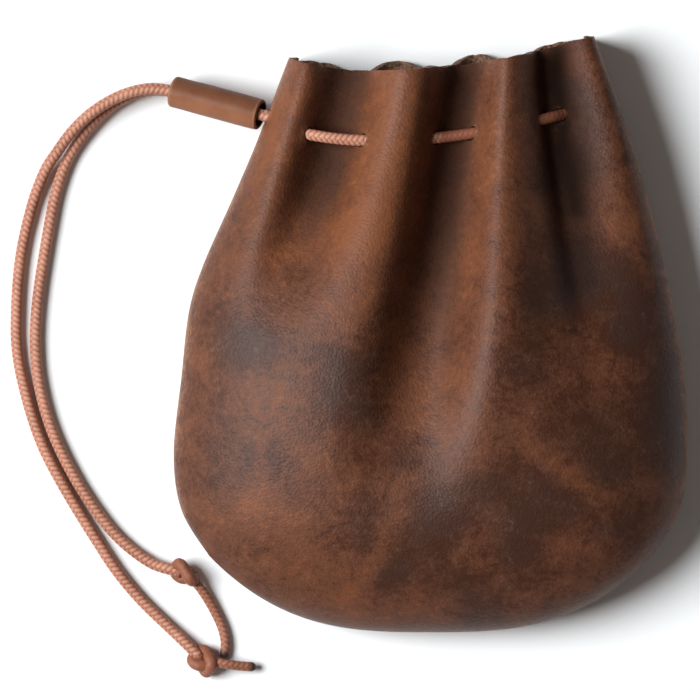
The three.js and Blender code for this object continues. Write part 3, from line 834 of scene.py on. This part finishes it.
class POUCH_OT_slider(bpy.types.Operator):
    """Roll the leather slider that holds the two cords together"""

    bl_idname = "pouch.slider"
    bl_label = "Slider"

    def execute(self, context):
        leather = context.scene.pouch_leather
        axis = (SLIDER_OUTER_END - SLIDER_INNER_END) * MM
        bpy.ops.object.select_all(action="DESELECT")
        bpy.ops.mesh.primitive_circle_add(vertices=SLIDER_SIDES, radius=0.5)
        slider = context.object
        slider.name = "leather_slider"
        bpy.ops.object.mode_set(mode="EDIT")
        bpy.ops.mesh.select_all(action="SELECT")
        size = (leather.slider_width, leather.slider_height, 1)
        bpy.ops.transform.resize(value=size, center_override=(0, 0, 0))
        for _ in range(SLIDER_STEPS):
            move = {"value": (0, 0, axis.length / SLIDER_STEPS)}
            bpy.ops.mesh.extrude_region_move(TRANSFORM_OT_translate=move)
        bpy.ops.mesh.select_all(action="SELECT")
        bpy.ops.mesh.normals_make_consistent(inside=False)
        bpy.ops.object.mode_set(mode="OBJECT")
        apply_modifier(slider, "SOLIDIFY", thickness=leather.slider_wall, offset=-1.0)
        apply_modifier(slider, "BEVEL", width=leather.cut_edge, segments=2, limit_method="ANGLE")
        apply_modifier(slider, "SUBSURF", levels=2, render_levels=2)

        side = Vector((0, 0, 1)).cross(axis).normalized()
        basis = Matrix((side, axis.normalized().cross(side), axis.normalized())).transposed()
        slider.matrix_world = Matrix.Translation(SLIDER_INNER_END * MM) @ basis.to_4x4()
        bpy.ops.object.transform_apply()
        self.work_by_hand(slider, leather)
        bpy.ops.object.shade_smooth_by_angle(angle=math.radians(50))
        dress(slider, "slider_leather", slider_finish(leather), "slider_bead")
        return {"FINISHED"}

    def work_by_hand(self, slider, leather):
        """Uneven the tube a little, and mark its bore and its side towards +Y for painted shade, and
        its worn ends.
        """
        places = vertex_places(slider)
        inner, outer = np.array(SLIDER_INNER_END), np.array(SLIDER_OUTER_END)
        axis = (outer - inner) / np.linalg.norm(outer - inner)
        along = (places - inner) @ axis
        spokes = places - inner - np.outer(along, axis)
        size = np.linalg.norm(spokes, axis=1)
        uneven = np.array([noise.noise(Vector(place) * SLIDER_PACE) for place in places])
        move_vertices(slider, places + spokes / size[:, None] * (SLIDER_UNEVEN * uneven)[:, None])
        end = np.minimum(along, np.linalg.norm(outer - inner) - along)
        side = np.cross((0, 0, 1), axis)
        side /= np.linalg.norm(side)
        up = np.cross(axis, side)
        half = np.array([leather.slider_width, leather.slider_height]) / 2 / MM
        oval = np.hypot(spokes @ side / half[0], spokes @ up / half[1])
        bore, soft_edge = SLIDER_BORE
        store_values(
            slider, wear=1 - smooth_share(end / SLIDER_WEAR_REACH),
            flesh=1 - smooth_share((oval - bore) / soft_edge),
            handled=smooth_share(SLIDER_DARK_FROM - spokes @ side / half[0]))


class POUCH_OT_cords(bpy.types.Operator):
    """Lay the gathering cord, its two free ends, their knots and their tails"""

    bl_idname = "pouch.cords"
    bl_label = "Cords"

    def execute(self, context):
        cord = context.scene.pouch_cord
        material = cord_finish(cord)
        diameter = cord.diameter / MM
        tail_diameter = cord.tail_diameter / MM

        line = smooth_line(drawstring_route(), RING_STEP)
        # the gathering cord's crowns are darker from X = 0.5 on: painted shade where the ridges shade
        # it
        rubbed_and_shaded = 1 - CORD_SHADE_SHARE * smooth_share((line[:, :1] - CORD_SHADE_FROM) / CORD_SHADE_OVER)
        gathering = plaited_tube("gathering_cord", line, diameter, cord, polish_and_shade=rubbed_and_shaded)
        dress(gathering, "waxed_cord", material, "drawstring")

        knot_line = overhand_knot()
        routes = (
            ("outer", OUTER_STRAND, KNOT_OUTER, OUTER_TAIL, ["leather_slider"]),
            ("inner", INNER_STRAND, KNOT_INNER, INNER_TAIL, []),
        )
        for name, strand, knot, tail, carried in routes:
            line = smooth_line(np.vstack([strand, self.into_knot(strand[-1], knot)]), RING_STEP)
            piece = plaited_tube(f"free_cord_{name}", line, diameter, cord, polish_and_shade=FREE_POLISH)
            dress(piece, "waxed_cord", material, f"strand_{name}")
            lump = self.tie_knot(f"overhand_knot_{name}", knot_line, knot, cord)
            dress(lump, "waxed_cord", material, f"knot_{name}")
            tail_line = smooth_line(np.vstack([self.into_knot(tail[0], knot), tail]), RING_STEP)
            end = plaited_tube(
                f"cord_tail_{name}", tail_line, tail_diameter, cord, tip_end=True, polish_and_shade=TAIL_POLISH)
            dress(end, "waxed_cord", material, f"tail_{name}")
        return {"FINISHED"}

    def into_knot(self, end, knot):
        """A place inside a knot, for the cord that goes into it."""
        return end + INTO_KNOT * (np.array(knot[0]) - end)

    def tie_knot(self, name, knot_line, knot, cord):
        """Scale the tight knot to its place, turned about its cord, and rest it on the table."""
        middle, along, turn = knot
        kept = knot_line[np.abs(knot_line[:, 0]) < KNOT_REACH]
        kept = kept - (kept.max(axis=0) + kept.min(axis=0)) / 2 * (0, 1, 1)
        reach = np.hypot(kept[:, 1], kept[:, 2]).max() + KNOT_FILL / 2
        scale = KNOT_RADIUS / reach
        along = Vector(along).normalized()
        turned = Matrix.Rotation(math.radians(turn), 3, "X")
        basis = along.to_track_quat("X", "Z").to_matrix() @ turned
        line = kept @ np.array(basis).T * scale + np.array(middle)
        line[:, 2] += KNOT_LIFT + scale * KNOT_FILL / 2 - line[:, 2].min()
        line = smooth_line(line, KNOT_RING_STEP)
        return plaited_tube(name, line, scale * KNOT_FILL, cord, polish_and_shade=KNOT_CROWN_SHADE)


class POUCH_OT_panels(bpy.types.Operator):
    """Shape the front and back panels, with their folds, cord holes and turned seam"""

    bl_idname = "pouch.panels"
    bl_label = "Panels"

    def execute(self, context):
        leather = context.scene.pouch_leather
        cord = context.scene.pouch_cord
        material = leather_finish(leather)
        holes = self.hole_cutters(cord)
        front = self.panel("leather_front", front_surface, 1, FRONT_GRID, leather, cord, holes)
        dress(front, "leather", material, "front_panel")
        back = self.panel("leather_back", back_surface, -1, BACK_GRID, leather, cord, holes)
        dress(back, "leather", material, "back_panel")
        for hole in holes:
            bpy.data.objects.remove(hole)
        return {"FINISHED"}

    def hole_cutters(self, cord):
        """Round rods a little thicker than the cord, to cut its way through the leather."""
        step, sides = 1.0, 20
        routes = {
            "way_round": drawstring_route(), "way_outer": OUTER_STRAND[:3],
            "way_inner": INNER_STRAND[:3]}
        cutters = []
        for name, route in routes.items():
            line = smooth_line(route, step)
            radii = np.full((len(line), sides), cord.diameter / MM / 2 + GAP)
            cutters.append(tube(name, line, radii, sides))
        return cutters

    def panel(self, name, surface, outward, squares, leather, cord, holes):
        """One panel: a grid moved onto its surface, given its thickness and cut for the cord.

        outward is 1 where the outside faces up and -1 where it faces down.
        """
        bpy.ops.object.select_all(action="DESELECT")
        bpy.ops.mesh.primitive_grid_add(x_subdivisions=squares[0], y_subdivisions=squares[1], size=1)
        panel = bpy.context.object
        panel.name = name
        grid = vertex_places(panel) * MM + 0.5
        s = grid[:, 0] - CROWD_ACROSS * np.sin(2 * np.pi * grid[:, 0]) / (2 * np.pi)
        t = grid[:, 1] - CROWD_ALONG * np.sin(np.pi * grid[:, 1]) / np.pi
        s, t = clamp_share(s), clamp_share(t)
        places = self.turn_in(surface(s, t), t, outward, leather)
        rim = self.hole_rims(places, cord)
        places[:, 2] += outward * rim * leather.rim_rise / MM
        waver = np.array([noise.noise(Vector((x * WAVER_PACE, outward, 0))) for x in places[:, 0]])
        places[:, 1] += MOUTH_WAVER * waver * smooth_share((t - WAVER_FROM) / (1 - WAVER_FROM))
        move_vertices(panel, places)
        if outward < 0:
            bpy.ops.object.mode_set(mode="EDIT")
            bpy.ops.mesh.select_all(action="SELECT")
            bpy.ops.mesh.flip_normals()
            bpy.ops.object.mode_set(mode="OBJECT")
        apply_modifier(panel, "SOLIDIFY", thickness=leather.wall, offset=-1.0)
        apply_modifier(
            panel, "BEVEL", width=leather.cut_edge, segments=2, limit_method="ANGLE",
            angle_limit=math.radians(55))
        for hole in holes:
            apply_modifier(panel, "BOOLEAN", object=hole, operation="DIFFERENCE", solver="MANIFOLD")
        bpy.ops.object.shade_smooth_by_angle(angle=math.radians(45))
        self.mark(panel, places, s, t, rim)
        return panel

    def turn_in(self, places, t, outward, leather):
        """Roll the first rows of a panel in towards the seam."""
        roll = leather.seam_roll / MM
        seam = column("seam", eased(t, False)) + outward * SEAM_GAP / 2
        height = outward * (places[:, 2] - seam)
        turn = (1 - clamp_share(height / roll)) * np.pi / 2
        middle = np.column_stack([np.zeros(len(places)), np.maximum(places[:, 1], ROUND_FROM)])
        inward = middle - places[:, :2]
        inward /= np.linalg.norm(inward, axis=1)[:, None]
        rolled = places.copy()
        rolled[:, :2] += inward * (roll * (1 - np.cos(turn)))[:, None]
        low = height < roll
        rolled[low, 2] = (seam + outward * roll * (1 - np.sin(turn)))[low]
        return rolled

    def hole_rims(self, places, cord):
        """1 beside the holes that the gathering cord passes through, and 0 away from them."""
        step = 0.3
        tree = search_tree(smooth_line(drawstring_route(), step))
        away = np.array([tree.find(place)[2] for place in places]) - cord.diameter / MM / 2
        return 1 - smooth_share((away - RIM_FROM) / RIM_SLOPE)

    def mark(self, panel, places, s, t, rim):
        """Mark the stained spots and streaks, some of them painted shade and highlight, the worn
        edges, the painted shade in the pleats and on the right pleat's bank, and the flesh side for
        the material.
        """
        tree = search_tree(places)
        found = [tree.find(place)[1:] for place in vertex_places(panel)]
        nearest = np.array([index for index, _ in found])
        depth = np.array([distance for _, distance in found])
        edge = np.minimum(np.minimum(s, 1 - s), t)
        seam_wear = SEAM_WEAR[panel.name] * (1 - smooth_share(edge / SEAM_WEAR_REACH))
        wear = np.maximum(seam_wear, RIM_WEAR * rim)
        stain = np.zeros(len(places))
        crease = np.zeros(len(places))
        if panel.name == "leather_front":
            wander = np.array([
                [noise.noise(Vector(place) * MARK_PACE + offset) for offset in WANDER_OFFSETS]
                for place in places])
            spots = places[:, :2] + STAIN_STRAY * wander
            lines = places[:, :2] + wander
            # the dark spots include painted shade, and the streaks along the crests of the folds are
            # painted highlight
            stain = self.stains(spots) - self.streaks(STREAKS_AND_CREST_SHEEN, lines)
            # painted shade down in the pleats, by their depth
            start, end = PLEAT_DEPTHS
            crease = smooth_share((-front_folds(s, t)[1][:, 2] - start) / (end - start))
            start, end = PLEAT_FADE
            crease *= smooth_share((places[:, 1] - start) / (end - start))
            # painted shadow down the right pleat's bank
            crease = np.maximum(crease, self.streaks(PAINTED_BANK_SHADOW, lines))
        store_values(
            panel, wear=wear[nearest], stain=stain[nearest], crease=crease[nearest],
            flesh=smooth_share((depth - FLESH_FROM) / FLESH_OVER))

    def stains(self, spots):
        """Strength of the table's spots, some of them painted shade, dark above zero and rusty below.
        """
        total = np.zeros(len(spots))
        for x, y, radius, strength in STAINS_AND_SHADE:
            away = np.hypot(spots[:, 0] - x, spots[:, 1] - y) / (STAIN_SPREAD * radius)
            total += STAIN_SHARE * strength * np.exp(-away ** 2)
        return np.clip(total, *STAIN_LIMITS)

    def streaks(self, table, spots):
        """Strength of a table's streaks, by distance from each."""
        total = np.zeros(len(spots))
        for start, end, half, strength in table:
            start, run = np.array(start), np.subtract(end, start)
            share = clamp_share((spots - start) @ run / (run @ run))
            away = np.linalg.norm(spots - start - np.outer(share, run), axis=1) / half
            total = np.maximum(total, strength * np.exp(-away ** 2))
        return total


class POUCH_PT_sidebar(bpy.types.Panel):
    """Lists the pieces of the pouch and the sizes and colours that they use"""

    bl_idname = "POUCH_PT_sidebar"
    bl_label = "Coin Pouch"
    bl_space_type = "VIEW_3D"
    bl_region_type = "UI"
    bl_category = "Pouch"

    def draw(self, context):
        for operator in OPERATORS:
            self.layout.operator(operator.bl_idname)
        for name, group in GROUPS.items():
            box = self.layout.box()
            for setting in group.__annotations__:
                box.prop(getattr(context.scene, name), setting)


GROUPS = {"pouch_stage": PouchStage, "pouch_leather": PouchLeather, "pouch_cord": PouchCord}
OPERATORS = (POUCH_OT_stage, POUCH_OT_slider, POUCH_OT_cords, POUCH_OT_panels)


def register():
    for kind in (*GROUPS.values(), *OPERATORS, POUCH_PT_sidebar):
        bpy.utils.register_class(kind)
    for name, group in GROUPS.items():
        setattr(bpy.types.Scene, name, PointerProperty(type=group))


def unregister():
    for name in GROUPS:
        delattr(bpy.types.Scene, name)
    for kind in reversed((*GROUPS.values(), *OPERATORS, POUCH_PT_sidebar)):
        bpy.utils.unregister_class(kind)


def main():
    register()
    bpy.ops.pouch.stage()
    bpy.ops.pouch.slider()
    bpy.ops.pouch.cords()
    bpy.ops.pouch.panels()


if __name__ == "__main__":
    main()
